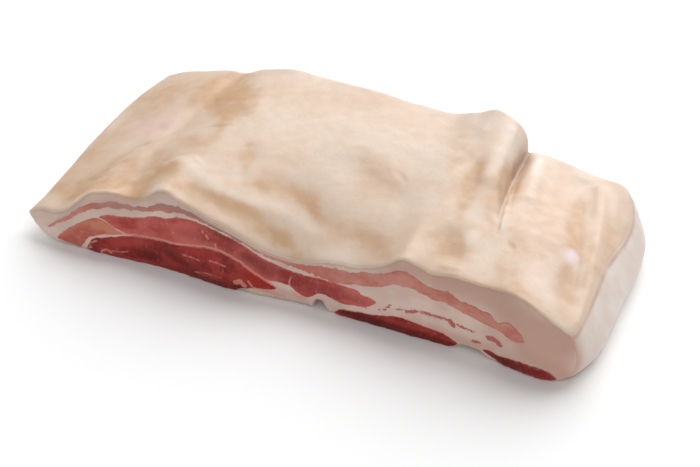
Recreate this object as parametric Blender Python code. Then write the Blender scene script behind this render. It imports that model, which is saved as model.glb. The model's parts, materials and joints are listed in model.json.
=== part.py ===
"""Raw pork belly slab, rind side up: a body of fat under the rind, with the lean layers that run through it.

The slab lies on its meat side. +X runs along its length, +Y from the near cut to the far cut, +Z up, and the
origin is at the middle of its base. Places on the slab are given as u, v and w, each from 0 to 1: u along the
length, v from the near cut to the far cut, and w from the base to the skin.
"""

import bmesh
import bpy
import numpy as np

MM = 0.001

# Ends, in millimetres: (v, x) of the skin's edge and of the foot. Each end, and each cut, passes from its
# foot to its skin edge by a power of w.
LEFT_TOP = [(0.0, -237), (0.06, -233), (0.18, -231), (0.5, -230), (0.78, -225), (1.0, -214)]
LEFT_FOOT = [(0.0, -208), (0.3, -205), (1.0, -204)]
RIGHT_TOP = [(0.0, 223), (0.15, 222), (0.3, 220), (0.5, 218), (0.7, 219), (0.87, 217), (1.0, 208)]
RIGHT_FOOT = [(0.0, 220), (0.1, 227), (0.5, 229), (0.8, 226), (0.93, 219), (1.0, 206)]
RIGHT_BULGE = 7.5
LEFT_POWER = 0.9
RIGHT_POWER = 2

# Near and far cuts, in millimetres: (x, y) of the foot, and how far the cut leans back at the skin.
FRONT_FOOT = [
    (-236, -104), (-208, -107), (-160, -106), (-110, -103), (-56, -106), (-1, -102), (89, -102),
    (149, -103), (199, -110), (233, -104),
]
FRONT_LEAN = [(-236, 4), (-206, 5), (-166, 15), (-111, 15), (-71, 9), (119, 9), (189, 8), (233, 4)]
FRONT_BULGE = 4
BACK_FOOT = [(-236, 105), (-206, 108), (-1, 100), (189, 92), (214, 88), (233, 79)]
BACK_LEAN = 6
BACK_BULGE = 3
CUT_POWER = 1.5

# Height of the skin in millimetres, as (x, z), along the near cut, the middle and the far cut.
FRONT_SKIN = [
    (-236, 18), (-223, 25), (-206, 28), (-200, 31), (-192, 38), (-184, 46), (-173, 50), (-162, 51),
    (-150, 48), (-141, 49), (-133, 55), (-126, 61), (-118, 64), (-107, 60), (-81, 56), (-51, 51), (-23, 41),
    (1, 39), (27, 44), (55, 48), (71, 55), (83, 64), (95, 62), (105, 58), (124, 60), (149, 60), (181, 62),
    (195, 57), (209, 48), (221, 41), (233, 36),
]
MID_SKIN = [
    (-236, 26), (-225, 31), (-191, 45), (-166, 54), (-141, 62), (-111, 69), (-61, 72), (-1, 73), (59, 73),
    (91, 76), (114, 74), (144, 68), (179, 63), (204, 55), (221, 44), (233, 38),
]
BACK_SKIN = [
    (-236, 30), (-211, 35), (-202, 39), (-177, 46), (-151, 53), (-139, 54), (-125, 61), (-97, 70), (-61, 72),
    (-12, 73), (24, 71), (59, 72), (75, 78), (92, 85), (103, 80), (115, 76), (139, 76), (175, 70), (209, 66),
    (233, 45),
]
# The broad shape of the near cut's heights, from which the skin slopes up towards the middle: (x, z).
FRONT_SLOPE = [
    (-236, 20), (-196, 36), (-160, 50), (-118, 58), (-81, 56), (-51, 51), (-23, 42), (1, 40), (30, 43),
    (60, 50), (90, 59), (130, 60), (181, 61), (209, 48), (233, 36),
]
# How far each of these reaches in from its cut, and how near the cuts the relief dies out, as shares of the width.
SLOPE_REACH = 0.8
FRONT_REACH = 0.36
BACK_REACH = 0.40
EDGE_FADE = 0.08

# The fold that steps down near the right end, in millimetres: (y, x) of its line and (y, drop) across it.
# The slab's columns within the pull follow the line, from the v where the fold starts.
FOLD_LINE = [(-27, 132), (8, 125), (36, 120), (64, 117), (90, 115)]
FOLD_DROP = [(-27, 0), (8, 5), (36, 11), (64, 17), (90, 23)]
FOLD_MIDDLE = 120
FOLD_START = 0.38
FOLD_WIDTH = 3
FOLD_PULL = 40

# Ridges and valleys of the skin, in millimetres: height, half width and the line that each follows.
RELIEF = {
    "flap valley": (-3.5, 13, [(-140, 104), (-143, 68), (-145, 35), (-153, -12), (-156, -38), (-164, -87)]),
    "flap wrinkle": (-2, 5, [(-165, 10), (-176, -2), (-182, -16), (-189, -42), (-190, -68)]),
    "front groove": (-2, 10, [(-114, -66), (-98, -74), (-78, -80), (-51, -84), (-24, -90), (0, -96)]),
    "front ridge": (1.5, 10, [(-122, -44), (-100, -57), (-78, -65), (-50, -70), (-20, -66), (6, -73)]),
    "middle groove": (
        -2, 12, [(-62, -44), (-42, -43), (-20, -44), (-4, -51), (18, -65), (42, -69), (60, -78)],
    ),
    "small dimple": (-1.5, 7, [(-80, -14), (-74, -26)]),
    "broad dip": (-1.5, 14, [(6, -6), (24, -14), (48, -22)]),
    "lobe valley": (-2.2, 11, [(87, 64), (91, 43), (96, 18), (102, -6), (105, -24)]),
    "front dimple": (-2.5, 13, [(108, -58), (114, -68)]),
    "lobe crest": (2.5, 9, [(106, 90), (109, 68), (109, 43), (112, 18)]),
    "crease": (-5, 4.5, [(119, 90), (121, 66), (124, 40), (128, 14), (133, -12)]),
    "right ridge": (4, 8, [(130, 94), (136, 70), (142, 44), (147, 12)]),
    "right valley": (-3, 10, [(172, 60), (185, 24), (194, -5), (201, -42), (203, -72)]),
    "end ridge": (2.5, 6, [(187, 68), (202, 18), (211, -24), (218, -68), (221, -94)]),
}

# Lean layers, as (x, share of the slab's height) along the near cut. Each runs through to the far cut,
# where it lies further along by its drift, in millimetres, and dips by the sag between the two.
LEAN_LAYERS = {
    "upper_streak": {
        "top": [
            (-213, 0.60), (-201, 0.82), (-173, 0.84), (-137, 0.89), (-118, 0.88), (-103, 0.90), (-61, 0.93),
            (-21, 0.92), (25, 0.88), (59, 0.89), (95, 0.82), (132, 0.74), (166, 0.60), (187, 0.56),
        ],
        "bottom": [
            (-213, 0.54), (-201, 0.75), (-181, 0.75), (-151, 0.82), (-118, 0.82), (-93, 0.87), (-55, 0.90),
            (-16, 0.86), (16, 0.75), (50, 0.70), (87, 0.68), (122, 0.67), (147, 0.53), (187, 0.47),
        ],
        "drift": 2,
    },
    "main_lean": {
        "top": [
            (-169, 0.67), (-149, 0.73), (-118, 0.72), (-91, 0.80), (-61, 0.84), (-27, 0.79), (7, 0.70),
            (29, 0.66), (46, 0.62), (57, 0.55), (67, 0.49),
        ],
        "bottom": [
            (-169, 0.64), (-151, 0.52), (-126, 0.49), (-89, 0.57), (-61, 0.65), (-36, 0.56), (-5, 0.44),
            (6, 0.36), (23, 0.37), (44, 0.33), (67, 0.42),
        ],
        "drift": 3,
    },
    "left_lean": {
        "top": [(-205, 0.26), (-189, 0.54), (-175, 0.61), (-161, 0.52), (-153, 0.47)],
        "bottom": [(-205, 0.16), (-189, 0.08), (-180, 0.14), (-173, 0.32), (-153, 0.44)],
        "drift": 3,
    },
    "lower_lean": {
        "top": [
            (-176, 0.13), (-166, 0.30), (-149, 0.41), (-126, 0.44), (-89, 0.52), (-61, 0.60), (-36, 0.51),
            (-23, 0.42), (-15, 0.36),
        ],
        "bottom": [(-176, -0.1), (-51, -0.1), (-37, 0.12), (-23, 0.24), (-15, 0.31)],
        "drift": 4,
    },
    "right_lean": {
        "top": [(24, 0.12), (47, 0.19), (89, 0.24), (108, 0.24), (125, 0.18), (133, 0.11)],
        "bottom": [(24, -0.1), (133, -0.1)],
        "drift": -12,
    },
    "end_lean": {
        "top": [(154, 0.13), (183, 0.17), (198, 0.20), (212, 0.14)],
        "bottom": [(154, 0.09), (166, 0.05), (194, 0.04), (212, 0.07)],
        "drift": -16,
    },
}
LAYER_SAG = 0.14
LAYER_STEPS = 12
LAYER_ROWS = [-0.08, 0.0, 0.12, 0.34, 0.66, 0.88, 1.0, 1.08]
CUT_GAP = 0.35

SLAB_COLUMNS = 38
FOLD_COLUMNS = 7
FOLD_COLUMN_REACH = 0.03
FOLD_COLUMN_GAP = 0.2
SLAB_ROWS = 17
SLAB_LEVELS = 4
MIDDLE = 0.5

FAT_COLOUR = (0.78, 0.62, 0.50, 1)
LEAN_COLOUR = (0.33, 0.07, 0.06, 1)


def curve(points, at):
    """The smooth curve through a list of points, read at a position or an array of them."""
    where, value = np.array(points, float).T
    slope = np.gradient(value, where)
    at = np.clip(at, where[0], where[-1])
    i = np.clip(np.searchsorted(where, at) - 1, 0, len(where) - 2)
    step = where[i + 1] - where[i]
    t = (at - where[i]) / step
    start = (1 + 2 * t) * (1 - t) ** 2 * value[i] + t * (1 - t) ** 2 * step * slope[i]
    return start + t * t * (3 - 2 * t) * value[i + 1] + t * t * (t - 1) * step * slope[i + 1]


def distance_to(x, y, line):
    """How far each point is, seen from above, from a line of straight runs."""
    nearest = np.full(np.shape(x), np.inf)
    for (ax, ay), (bx, by) in zip(line, line[1:]):
        dx, dy = bx - ax, by - ay
        along = np.clip(((x - ax) * dx + (y - ay) * dy) / (dx * dx + dy * dy), 0, 1)
        nearest = np.minimum(nearest, np.hypot(x - ax - along * dx, y - ay - along * dy))
    return nearest


def skin_height(x, y, v):
    """Height of the skin: the slab's own swell, its ridges and valleys, and the fold's step."""
    near = np.clip(1 - v / FRONT_REACH, 0, 1) ** 2
    slope = np.clip(1 - v / SLOPE_REACH, 0, 1) ** 2
    far = np.clip(1 - (1 - v) / BACK_REACH, 0, 1) ** 2
    height = near * curve(FRONT_SKIN, x) + (slope - near) * curve(FRONT_SLOPE, x)
    height = height + far * curve(BACK_SKIN, x) + (1 - slope - far) * curve(MID_SKIN, x)
    fade = np.clip(np.minimum(v, 1 - v) / EDGE_FADE, 0, 1)
    for rise, width, line in RELIEF.values():
        height = height + rise * fade * np.exp(-((distance_to(x, y, line) / width) ** 2))
    past_fold = 1 / (1 + np.exp(-np.clip((x - curve(FOLD_LINE, y)) / FOLD_WIDTH, -30, 30)))
    return height - curve(FOLD_DROP, y) * past_fold


def slab_point(u, v, w):
    """The point of the slab at u, v and w, in millimetres."""
    swell = np.sin(np.pi * w)
    left = curve(LEFT_FOOT, v) + (curve(LEFT_TOP, v) - curve(LEFT_FOOT, v)) * w**LEFT_POWER
    right = curve(RIGHT_FOOT, v) + (curve(RIGHT_TOP, v) - curve(RIGHT_FOOT, v)) * w**RIGHT_POWER
    x = left + (right + RIGHT_BULGE * swell - left) * u
    fold_near, fold_far = FOLD_LINE[0][0], FOLD_LINE[-1][0]
    fold_x = curve(FOLD_LINE, fold_near + (fold_far - fold_near) * (v - FOLD_START) / (1 - FOLD_START))
    x = x + (fold_x - FOLD_MIDDLE) * np.exp(-(((x - FOLD_MIDDLE) / FOLD_PULL) ** 2))
    near = curve(FRONT_FOOT, x) + curve(FRONT_LEAN, x) * w**CUT_POWER - FRONT_BULGE * swell
    far = curve(BACK_FOOT, x) - BACK_LEAN * w**CUT_POWER + BACK_BULGE * swell
    y = near + (far - near) * v
    return x, y, skin_height(x, y, v) * w


def layer_point(layer, u, v, w, grow):
    """The point of a lean layer at u, v and w, in millimetres. Past the cuts, v is under 0 or over 1."""
    start, end = layer["top"][0][0], layer["top"][-1][0]
    x = start + (end - start) * u
    low, high = curve(layer["bottom"], x), curve(layer["top"], x)
    share = (low + (high - low) * w) * (1 - LAYER_SAG * (1 - np.clip(2 * v - 1, -1, 1) ** 4))
    x = x + layer["drift"] * v
    y = curve(FRONT_FOOT, x) + (curve(BACK_FOOT, x) - curve(FRONT_FOOT, x)) * v
    z = skin_height(x, y, np.clip(v, 0, 1)) * share
    return x + grow * (2 * u - 1), y, z + grow * (2 * w - 1)


def mapped_box(name, places, point_at):
    """A box cut into cells at the given places along each side, with each corner moved to its point."""
    mesh = bpy.data.meshes.new(name)
    bm = bmesh.new()
    bmesh.ops.create_cube(bm, size=1)
    spans = [(np.min(side), np.ptp(side)) for side in places]
    for vertex in bm.verts:
        vertex.co = [low + (corner + 0.5) * span for corner, (low, span) in zip(vertex.co, spans)]
    for axis, side in enumerate(places):
        normal = [float(axis == other) for other in range(3)]
        for place in side[1:-1]:
            everything = bm.verts[:] + bm.edges[:] + bm.faces[:]
            cut_at = [place * part for part in normal]
            bmesh.ops.bisect_plane(bm, geom=everything, dist=1e-7, plane_co=cut_at, plane_no=normal)
    u, v, w = np.array([vertex.co[:] for vertex in bm.verts]).T
    for vertex, point in zip(bm.verts, np.array(point_at(u, v, w)).T * MM):
        vertex.co = point
    bmesh.ops.triangulate(bm, faces=bm.faces[:], quad_method="FIXED")
    bmesh.ops.recalc_face_normals(bm, faces=bm.faces[:])
    bm.to_mesh(mesh)
    bm.free()
    return bpy.data.objects.new(name, mesh)


def flatten_base(obj):
    """Joins the faces that lie on the floor into one."""
    bm = bmesh.new()
    bm.from_mesh(obj.data)
    inner = [edge for edge in bm.edges if all(face.normal.z < -0.999 for face in edge.link_faces)]
    bmesh.ops.dissolve_edges(bm, edges=inner, use_verts=True)
    bm.to_mesh(obj.data)
    bm.free()


def material(name, colour, roughness):
    made = bpy.data.materials.new(name)
    made.use_nodes = True
    shader = made.node_tree.nodes["Principled BSDF"]
    shader.inputs["Base Color"].default_value = colour
    shader.inputs["Roughness"].default_value = roughness
    shader.inputs["Metallic"].default_value = 0
    return made


def cut(obj, cutter, operation):
    modifier = obj.modifiers.new(f"{operation} {cutter.name}", "BOOLEAN")
    modifier.operation = operation
    modifier.object = cutter
    modifier.solver = "EXACT"


def make_slab(name):
    """The whole slab, with closer columns where the fold steps down."""
    left, right = curve(LEFT_TOP, MIDDLE), curve(RIGHT_TOP, MIDDLE)
    fold_at = (FOLD_MIDDLE - left) / (right - left)
    even = np.linspace(0, 1, SLAB_COLUMNS + 1)
    close = np.linspace(fold_at - FOLD_COLUMN_REACH, fold_at + FOLD_COLUMN_REACH, FOLD_COLUMNS)
    far_columns = even[abs(even - fold_at) > FOLD_COLUMN_REACH + FOLD_COLUMN_GAP / SLAB_COLUMNS]
    columns = np.sort(np.concatenate([far_columns, close]))
    places = [columns, np.linspace(0, 1, SLAB_ROWS + 1), np.linspace(0, 1, SLAB_LEVELS + 1)]
    slab = mapped_box(name, places, slab_point)
    flatten_base(slab)
    return slab


def make_layer(name, grow):
    layer = LEAN_LAYERS[name.removesuffix("_room")]
    places = [np.linspace(0, 1, LAYER_STEPS + 1), LAYER_ROWS, [0, 1]]
    return mapped_box(name, places, lambda u, v, w: layer_point(layer, u, v, w, grow))


def make_collection(name):
    made = bpy.data.collections.new(name)
    bpy.context.scene.collection.children.link(made)
    return made


def add_helper(helpers, obj):
    """Keeps an object that only cuts others out of the render."""
    helpers.objects.link(obj)
    obj.hide_render = True
    obj.display_type = "WIRE"
    return obj


def main():
    for obj in list(bpy.data.objects):
        bpy.data.objects.remove(obj)
    parts = make_collection("pork_belly_slab")
    helpers = make_collection("cutters")
    fat_material = material("fat_and_rind", FAT_COLOUR, 0.45)
    lean_material = material("lean", LEAN_COLOUR, 0.35)
    slab = add_helper(helpers, make_slab("slab_outline"))
    fat = make_slab("fat_and_rind")
    fat.data.materials.append(fat_material)
    parts.objects.link(fat)
    for name in LEAN_LAYERS:
        layer = make_layer(name, 0)
        layer.data.materials.append(lean_material)
        parts.objects.link(layer)
        cut(layer, slab, "INTERSECT")
        cut(fat, add_helper(helpers, make_layer(name + "_room", CUT_GAP)), "DIFFERENCE")


main()
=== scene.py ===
"""A slab of fresh pork belly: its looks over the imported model, with a floor, lights and a camera.

Shapes are in millimetres: x along the slab, y from the near cut to the far cut, z up. The curves
follow the part's own, and finer relief, ragged edges and painted attributes are added to them.
"""

import json
import math

import bpy
import numpy as np
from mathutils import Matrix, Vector, noise

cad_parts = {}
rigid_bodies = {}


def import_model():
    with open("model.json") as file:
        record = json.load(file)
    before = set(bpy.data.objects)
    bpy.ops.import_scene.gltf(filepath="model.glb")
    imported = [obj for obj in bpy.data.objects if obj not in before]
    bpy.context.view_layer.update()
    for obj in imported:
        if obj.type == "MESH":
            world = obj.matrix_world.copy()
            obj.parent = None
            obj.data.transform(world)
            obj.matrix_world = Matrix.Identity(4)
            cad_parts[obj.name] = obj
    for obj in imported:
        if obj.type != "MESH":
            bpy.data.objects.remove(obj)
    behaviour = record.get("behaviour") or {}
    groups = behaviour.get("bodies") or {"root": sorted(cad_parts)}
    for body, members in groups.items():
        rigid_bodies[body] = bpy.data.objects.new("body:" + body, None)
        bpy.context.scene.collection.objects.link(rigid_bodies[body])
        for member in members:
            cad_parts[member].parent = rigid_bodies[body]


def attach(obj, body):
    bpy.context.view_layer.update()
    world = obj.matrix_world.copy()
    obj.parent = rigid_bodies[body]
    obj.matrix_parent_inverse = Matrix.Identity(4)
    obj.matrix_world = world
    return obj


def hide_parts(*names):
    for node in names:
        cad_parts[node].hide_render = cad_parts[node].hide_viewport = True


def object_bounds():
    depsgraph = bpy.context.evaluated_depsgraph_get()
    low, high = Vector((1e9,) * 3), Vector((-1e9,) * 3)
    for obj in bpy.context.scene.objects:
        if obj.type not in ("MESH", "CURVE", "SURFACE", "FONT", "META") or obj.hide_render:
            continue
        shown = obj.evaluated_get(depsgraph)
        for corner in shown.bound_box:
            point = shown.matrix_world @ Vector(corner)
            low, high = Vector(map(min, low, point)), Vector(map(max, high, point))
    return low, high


MM = 0.001

# The slab's plan, as the part has it. Ends: (share across the slab, x). Cuts: (x, y).
LEFT_TOP = [(0.0, -237), (0.06, -233), (0.18, -231), (0.5, -230), (0.78, -225), (1.0, -214)]
LEFT_FOOT = [(0.0, -208), (0.3, -205), (1.0, -204)]
RIGHT_TOP = [(0.0, 223), (0.15, 222), (0.3, 220), (0.5, 218), (0.7, 219), (0.87, 217), (1.0, 208)]
RIGHT_FOOT = [(0.0, 220), (0.1, 227), (0.5, 229), (0.8, 226), (0.93, 219), (1.0, 206)]
RIGHT_BULGE = 7.5
LEFT_POWER = 0.9
RIGHT_POWER = 2
FRONT_FOOT = [
    (-236, -104), (-208, -107), (-160, -106), (-110, -103), (-56, -106), (-1, -102), (89, -102),
    (149, -103), (199, -110), (233, -104),
]
FRONT_LEAN = [(-236, 4), (-206, 5), (-166, 15), (-111, 15), (-71, 9), (119, 9), (189, 8), (233, 4)]
FRONT_BULGE = 4
BACK_FOOT = [(-236, 105), (-206, 108), (-1, 100), (189, 92), (214, 88), (233, 79)]
BACK_LEAN = 6
BACK_BULGE = 3
CUT_POWER = 1.5

# Height of the skin along the near cut, the middle and the far cut: (x, z).
FRONT_SKIN = [(-236, 18), (-223, 25), (-206, 28), (-200, 31), (-192, 38), (-184, 46), (-173, 50),
              (-162, 51), (-150, 48), (-141, 49), (-133, 55), (-126, 61), (-118, 64), (-107, 60),
              (-81, 56), (-51, 51), (-23, 41), (1, 39), (27, 44), (55, 48), (71, 55), (83, 64),
              (95, 62), (105, 58), (124, 60), (149, 60), (181, 62), (195, 57), (209, 48), (221, 41),
              (233, 36)]
MID_SKIN = [(-236, 26), (-225, 31), (-191, 45), (-166, 54), (-141, 62), (-111, 69), (-61, 72),
            (-1, 73), (59, 73), (91, 76), (114, 74), (144, 68), (179, 63), (204, 55), (221, 44),
            (233, 38)]
BACK_SKIN = [
    (-236, 30), (-211, 35), (-202, 39), (-177, 46), (-151, 53), (-139, 54), (-125, 61), (-97, 70), (-61, 72),
    (-12, 73), (24, 71), (59, 72), (75, 78), (92, 85), (103, 80), (115, 76), (139, 76), (175, 70), (209, 66),
    (233, 45),
]
# The broad shape of the near cut's heights, from which the skin slopes up towards the middle: (x, z).
FRONT_SLOPE = [
    (-236, 20), (-196, 36), (-160, 50), (-118, 58), (-81, 56), (-51, 51), (-23, 42), (1, 40), (30, 43),
    (60, 50), (90, 59), (130, 60), (181, 61), (209, 48), (233, 36),
]
# How far each of these reaches in from its cut, and how near the cuts the relief dies out.
SLOPE_REACH = 0.8
FRONT_REACH = 0.36
BACK_REACH = 0.40
EDGE_FADE = 0.08

# The lobe of skin that ends in a fold: (y, x) of the crease and (y, drop) past it.
FOLD_LINE = [(-27, 132), (8, 125), (36, 120), (64, 117), (90, 115)]
FOLD_DROP = [(-27, 0), (8, 5), (36, 11), (64, 17), (90, 23)]
FOLD_MIDDLE = 120
FOLD_START = 0.38
FOLD_PULL = 40
FOLD_ROUND = 22
FOLD_TOE = 2
FOLD_OVERHANG = 0.2
# turn**2 * (1 - turn) is at most 4/27, and this brings it to 1.
FOLD_PEAK = 6.75

# Folds of the skin, some shallower than the part's: name: (rise, half width, line of (x, y)).
RELIEF = {
    "flap valley": (-3.5, 13, [(-140, 104), (-143, 68), (-145, 35), (-153, -12), (-156, -38), (-164, -87)]),
    "flap wrinkle": (-1.3, 6, [(-170, 2), (-177, -6), (-182, -18), (-189, -42), (-190, -68)]),
    "front groove": (-0.5, 10, [(-114, -69), (-98, -77), (-78, -83), (-51, -87), (-24, -92), (0, -98)]),
    "front ridge": (0.6, 10, [(-122, -44), (-100, -57), (-78, -65), (-50, -70), (-20, -66), (6, -73)]),
    "middle groove": (
        -0.5, 12, [(-62, -47), (-42, -46), (-20, -47), (-4, -54), (18, -66), (42, -70), (60, -79)],
    ),
    "small dimple": (-1.0, 8, [(-80, -14), (-74, -26)]),
    "broad dip": (-1.5, 14, [(6, -6), (24, -14), (48, -22)]),
    "lobe valley": (-1.3, 11, [(89, 54), (91, 43), (96, 18), (102, -6), (105, -24)]),
    "lobe valley low": (-0.8, 11, [(94, 28), (98, 10), (102, -8)]),
    "front dimple": (-2.5, 13, [(108, -58), (114, -68)]),
    "lobe crest": (2.5, 9, [(106, 90), (109, 68), (109, 43), (112, 18)]),
    "crease": (-1.8, 4.5, [(119, 90), (121, 66), (124, 40), (127, 22)]),
    "crease middle": (-2.0, 4.5, [(119, 90), (121, 66), (124, 40), (128, 14), (130, 2)]),
    "crease end": (-1.2, 5.5, [(119, 90), (121, 66), (124, 40), (128, 14), (134, -16)]),
    "right ridge": (2.2, 8, [(127, 94), (133, 70), (139, 44), (144, 18)]),
    "right ridge tail": (1.5, 9, [(130, 84), (137, 50), (144, 18), (149, -10)]),
    "right valley": (-1.7, 10, [(170, 66), (185, 24), (194, -5), (201, -42), (203, -72)]),
    "right valley low": (-1.1, 10, [(182, 32), (193, 0), (201, -42), (203, -72)]),
    "end ridge": (2.5, 6, [(187, 68), (202, 18), (211, -24), (218, -68), (221, -94)]),
}
# Finer wrinkles that the part doesn't have, the same way.
FINE_RELIEF = {
    "crease pinch": (-1.5, 2.0, [(119, 104), (120, 66), (122, 40), (127, 14)]),
    "crease tail": (-0.5, 2.4, [(126, 18), (131, -8), (137, -34)]),
    "fold lip": (0.7, 2.2, [(126, 34), (131, 6), (136, -18), (140, -34)]),
    "thin wrinkle": (-0.5, 2.4, [(-153, 0), (-166, -18), (-178, -26), (-185, -42), (-188, -73)]),
    "fine wrinkle": (-0.4, 1.8, [(-176, -44), (-183, -54), (-193, -60), (-199, -72)]),
    "pale wrinkle": (0.5, 2.2, [(-134, -46), (-126, -41), (-116, -39), (-108, -44)]),
    "flap line": (-0.5, 1.8, [(-107, 9), (-114, 5), (-124, 2)]),
    "flap dent": (-0.6, 3.5, [(-142, 50), (-138, 38)]),
    "pit": (-0.5, 2.4, [(149, -44), (156, -50)]),
    "middle wrinkle": (-0.4, 2.0, [(38, 2), (45, -2), (52, -8)]),
    "front scratch": (0.5, 1.6, [(112, -84), (120, -85), (127, -84)]),
    "right wrinkle": (-0.6, 2.0, [(180, 44), (188, 18), (196, -8), (203, -34), (208, -60)]),
}

# Lean layers along the near cut: top and bottom as (x, share of the height), the mm each layer moves
# along by at the far cut, how ragged its border is, and its material slot.
LAYERS = {
    "upper_streak": {
        "top": [(-213, 0.57), (-207, 0.72), (-200, 0.8), (-190, 0.82), (-170, 0.84), (-159, 0.88),
                (-142, 0.9), (-127, 0.83), (-114, 0.87), (-104, 0.92), (-93, 0.94), (-75, 0.96),
                (-54, 0.965), (-35, 0.965), (-17, 0.955), (1, 0.93), (26, 0.9), (54, 0.9),
                (79, 0.86), (95, 0.84), (114, 0.82), (124, 0.79), (133, 0.74), (141, 0.73),
                (149, 0.71), (157, 0.68), (165, 0.61), (171, 0.65), (178, 0.64), (187, 0.56)],
        "bottom": [(-213, 0.54), (-205, 0.69), (-197, 0.73), (-187, 0.74), (-169, 0.775),
                   (-159, 0.825), (-141, 0.855), (-127, 0.775), (-113, 0.795), (-103, 0.87),
                   (-93, 0.89), (-75, 0.92), (-54, 0.92), (-35, 0.915), (-16, 0.89), (2, 0.85),
                   (16, 0.76), (32, 0.7), (50, 0.72), (69, 0.71), (87, 0.7), (106, 0.71),
                   (118, 0.68), (124, 0.66), (131, 0.63), (139, 0.6), (149, 0.575), (157, 0.54),
                   (166, 0.53), (175, 0.48), (187, 0.48)],
        "drift": 2, "rag": 2.0, "slot": "pale_lean",
    },
    "main_lean": {
        "top": [(-169, 0.665), (-156, 0.71), (-144, 0.75), (-130, 0.71), (-113, 0.71), (-103, 0.8),
                (-97, 0.83), (-86, 0.86), (-68, 0.89), (-62, 0.89), (-42, 0.88), (-27, 0.83),
                (-6, 0.775), (8, 0.73), (28, 0.68), (44, 0.65), (51, 0.62), (55, 0.55),
                (61, 0.53), (67, 0.49)],
        "bottom": [(-169, 0.645), (-161, 0.6), (-154, 0.555), (-146, 0.52), (-138, 0.505),
                   (-125, 0.445), (-111, 0.455), (-100, 0.49), (-84, 0.575), (-74, 0.635),
                   (-61, 0.665), (-53, 0.655), (-44, 0.635), (-34, 0.565), (-23, 0.49), (-9, 0.5),
                   (-3, 0.47), (2, 0.36), (9, 0.27), (15, 0.31), (20, 0.39), (27, 0.42),
                   (32, 0.38), (38, 0.33), (52, 0.34), (61, 0.37), (67, 0.42)],
        "drift": 3, "rag": 1.0, "slot": "lean",
    },
    "left_lean": {
        "top": [(-205, 0.28), (-203, 0.35), (-196, 0.49), (-188, 0.54), (-180, 0.58), (-171, 0.625),
                (-163, 0.58), (-155, 0.52), (-149, 0.49)],
        "bottom": [(-205, 0.17), (-198, 0.12), (-191, 0.08), (-185, 0.07), (-182, 0.15),
                   (-178, 0.27), (-171, 0.35), (-165, 0.39), (-157, 0.44), (-149, 0.475)],
        "drift": 3, "rag": 1.0, "slot": "lean",
    },
    "lower_lean": {
        "top": [(-180, 0.06), (-177, 0.18), (-172, 0.29), (-164, 0.33), (-157, 0.38), (-147, 0.45),
                (-138, 0.475), (-125, 0.42), (-111, 0.43), (-100, 0.46), (-84, 0.545), (-74, 0.605),
                (-61, 0.64), (-53, 0.63), (-44, 0.605), (-34, 0.535), (-23, 0.45), (-15, 0.36)],
        "bottom": [(-180, 0.0), (-170, 0.0), (-51, 0.0), (-44, 0.05), (-34, 0.18), (-24, 0.24),
                   (-15, 0.29)],
        "drift": 4, "rag": 1.0, "slot": "dark_lean",
    },
    "right_lean": {
        "top": [(33, 0.06), (36, 0.14), (40, 0.175), (47, 0.19), (61, 0.21), (71, 0.23), (89, 0.25),
                (108, 0.245), (118, 0.22), (125, 0.18), (133, 0.11)],
        "bottom": [(33, 0.0), (133, 0.0)],
        "drift": -12, "rag": 1.3, "slot": "dark_lean",
    },
    "end_lean": {
        "top": [(154, 0.14), (160, 0.165), (166, 0.14), (179, 0.18), (192, 0.21), (202, 0.215),
                (209, 0.19), (213, 0.13)],
        "bottom": [(154, 0.1), (160, 0.08), (166, 0.04), (182, 0.025), (194, 0.02), (205, 0.015),
                   (213, 0.03)],
        "drift": -16, "rag": 1.5, "slot": "dark_lean",
    },
}
LAYER_SAG = 0.14

# What the cuts show besides the layers, along the near cut: name: (half width, line of (x, share)).
SEAMS = {
    "main seam": (1.0, [(-146, 0.475), (-138, 0.488), (-125, 0.432), (-111, 0.442), (-100, 0.475),
                        (-84, 0.56), (-74, 0.62), (-61, 0.652), (-53, 0.642), (-44, 0.62),
                        (-34, 0.55), (-23, 0.47), (-15, 0.38)]),
    "upper line": (0.6, [(-95, 0.35), (-90, 0.37), (-84, 0.375), (-79, 0.38)]),
    "next line": (0.6, [(-70, 0.44), (-63, 0.455), (-56, 0.45)]),
    "low line": (0.5, [(-84, 0.14), (-74, 0.19), (-62, 0.21)]),
    "left knot": (0.9, [(-167, 0.04), (-165, 0.1), (-161, 0.13), (-158, 0.08)]),
    "left hook": (0.7, [(-181, 0.04), (-175, 0.11), (-178, 0.18), (-170, 0.26)]),
    "left line": (0.4, [(-160, 0.1), (-154, 0.14), (-149, 0.15), (-143, 0.2)]),
    "lump": (2.2, [(-48, 0.2), (-44, 0.25), (-41, 0.18)]),
    "lump rim": (0.8, [(-37, 0.32), (-34, 0.22), (-29, 0.19)]),
    "speck one": (0.6, [(-79, 0.81), (-78, 0.79)]),
    "speck two": (0.7, [(-75, 0.78), (-73, 0.75)]),
    "speck three": (0.5, [(-66, 0.72), (-65, 0.66)]),
    "thin line": (0.5, [(-3, 0.66), (-4, 0.56), (-3, 0.48)]),
}
FLECKS = {
    "hook": (0.8, [(70, 0.34), (75, 0.35), (78, 0.4), (79, 0.43)]),
    "dots": (0.8, [(54, 0.36), (57, 0.35), (60, 0.34)]),
    "small dash": (0.7, [(84, 0.37), (89, 0.39)]),
    "dash": (1.5, [(92, 0.38), (96, 0.4), (100, 0.44)]),
    "long fleck": (1.1, [(104, 0.46), (112, 0.46), (121, 0.45), (128, 0.43)]),
    "blob": (1.9, [(127, 0.43), (130, 0.38)]),
    "next fleck": (1.0, [(133, 0.41), (140, 0.39), (146, 0.38)]),
    "spot": (1.3, [(146, 0.23), (151, 0.24)]),
    "wedge": (2.2, [(158, 0.37), (163, 0.38), (168, 0.33)]),
}
# How far along the same marks are on the far cut, and the distance that stands for no mark near.
FAR_SEAM_SHIFT = 11
NO_MARK = 9.0

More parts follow.
